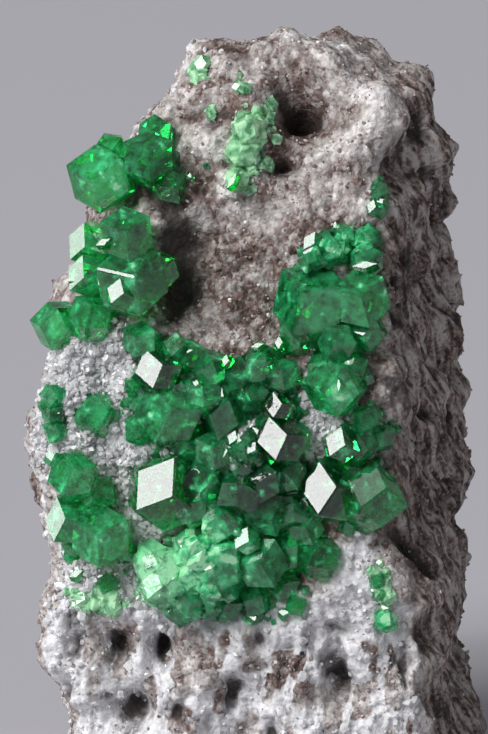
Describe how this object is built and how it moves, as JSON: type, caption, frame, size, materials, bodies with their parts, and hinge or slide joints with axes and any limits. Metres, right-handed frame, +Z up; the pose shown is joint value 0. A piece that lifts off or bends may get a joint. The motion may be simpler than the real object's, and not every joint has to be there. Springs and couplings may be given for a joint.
{
  "type": "mineral specimen",
  "caption": "Upright block of granular grey-brown rock with clusters of lozenge-faced, see-through green garnet crystals on its front, standing on a flat cut.",
  "frame": {"origin": "middle of the flat cut that the block stands on", "axes": "+Z up along the block, the longest way; the crystal face looks to -Y and the dark weathered side to +X"},
  "size_m": [0.0276, 0.0194, 0.0448],
  "materials": {
    "rock": "matte",
    "garnet": "polished",
    "pale_garnet": "gloss"
  },
  "bodies": {
    "root": {"matrix": "rock", "upper_left_garnets": "garnet", "middle_left_garnets": "garnet", "main_garnets": "garnet", "flat_left_garnet": "garnet", "rim_left_garnets": "garnet", "lower_left_garnets": "garnet", "right_edge_garnets": "garnet", "upper_right_garnets": "garnet", "pale_centre_garnets": "pale_garnet", "top_left_garnets": "pale_garnet", "right_rim_small_garnets": "garnet", "foot_left_garnets": "pale_garnet", "foot_right_garnet": "garnet", "side_small_garnets": "garnet"}
  },
  "joints": []
}
